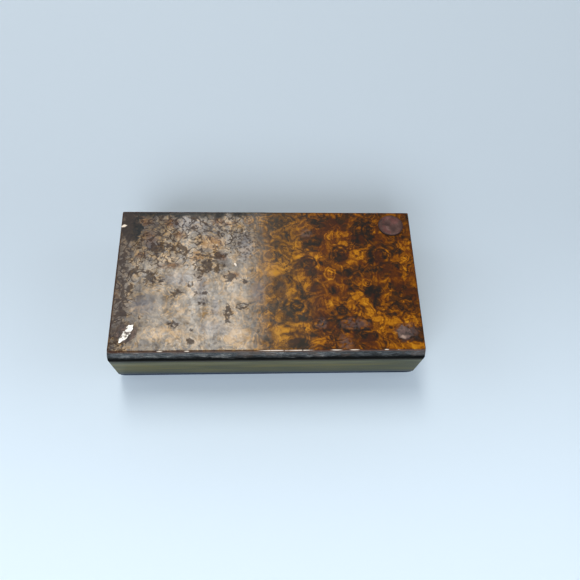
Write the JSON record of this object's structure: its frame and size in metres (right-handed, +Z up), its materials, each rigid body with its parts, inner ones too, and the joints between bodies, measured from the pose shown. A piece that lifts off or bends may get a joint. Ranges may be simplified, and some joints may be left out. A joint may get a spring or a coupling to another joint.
{
  "type": "rosin cake in a lidded case",
  "caption": "Bow rosin cake on a cork backing in a felt-lined wooden case on round feet, with a bevelled lift-off lid whose face has a burl figure.",
  "frame": {"origin": "centre of the case's footprint, on the surface that its feet stand on", "axes": "+X along the case's long side, +Y from its front to its back, +Z up; the lid's one corner pad is at +X +Y"},
  "size_m": [0.1146, 0.0596, 0.0282],
  "materials": {
    "lid_face": "burl veneer under glossy amber lacquer",
    "lid_edge": "worn black lacquer, satin",
    "case_wall": "olive lacquer, satin, grain along the side",
    "base_board": "dark stained board, matt",
    "bare_wood": "unvarnished pale wood",
    "felt": "green felt",
    "rosin": "cast amber rosin with a dusty worn track",
    "cork": "fine cork sheet",
    "pad": "reddish brown leather, scuffed",
    "pin": "dull brass"
  },
  "bodies": {
    "case": {"case_front_wall": "case_wall", "case_right_wall": "case_wall", "case_back_wall": "case_wall", "case_left_wall": "case_wall", "base_board": "base_board", "base_pin_1": "pin", "base_pin_2": "pin", "base_pin_3": "pin", "base_pin_4": "pin", "base_pin_5": "pin", "base_pin_6": "pin", "base_pin_7": "pin", "base_pin_8": "pin", "foot_front_left": "pad", "foot_front_right": "pad", "foot_back_left": "pad", "foot_back_right": "pad", "floor_lining": "felt", "wall_lining_front": "felt", "wall_lining_right": "felt", "wall_lining_back": "felt", "wall_lining_left": "felt", "well_block_left": "felt", "well_block_right": "felt", "well_block_front_left": "felt", "well_block_front_right": "felt", "well_block_back_left": "felt", "well_block_back_right": "felt"},
    "lid": {"lid_face": "lid_face", "lid_edge_front": "lid_edge", "lid_edge_right": "lid_edge", "lid_edge_back": "lid_edge", "lid_edge_left": "lid_edge", "lid_core": "bare_wood", "lid_lip_front": "bare_wood", "lid_lip_right": "bare_wood", "lid_lip_back": "bare_wood", "lid_lip_left": "bare_wood", "lid_lining": "felt", "corner_pad": "pad"},
    "cake": {"cake_backing": "cork", "rosin_cake": "rosin"}
  },
  "joints": [
    {"name": "lid_lift", "type": "slide", "parent": "case", "child": "lid", "axis": [0, 0, 1], "range_m": [0, 0.06]},
    {"name": "cake_lift", "type": "slide", "parent": "case", "child": "cake", "axis": [0, 0, 1], "range_m": [0, 0.03]}
  ],
  "couplings": [
    {"joint": "cake_lift", "follows": "lid_lift", "ratio": 0.5}
  ]
}
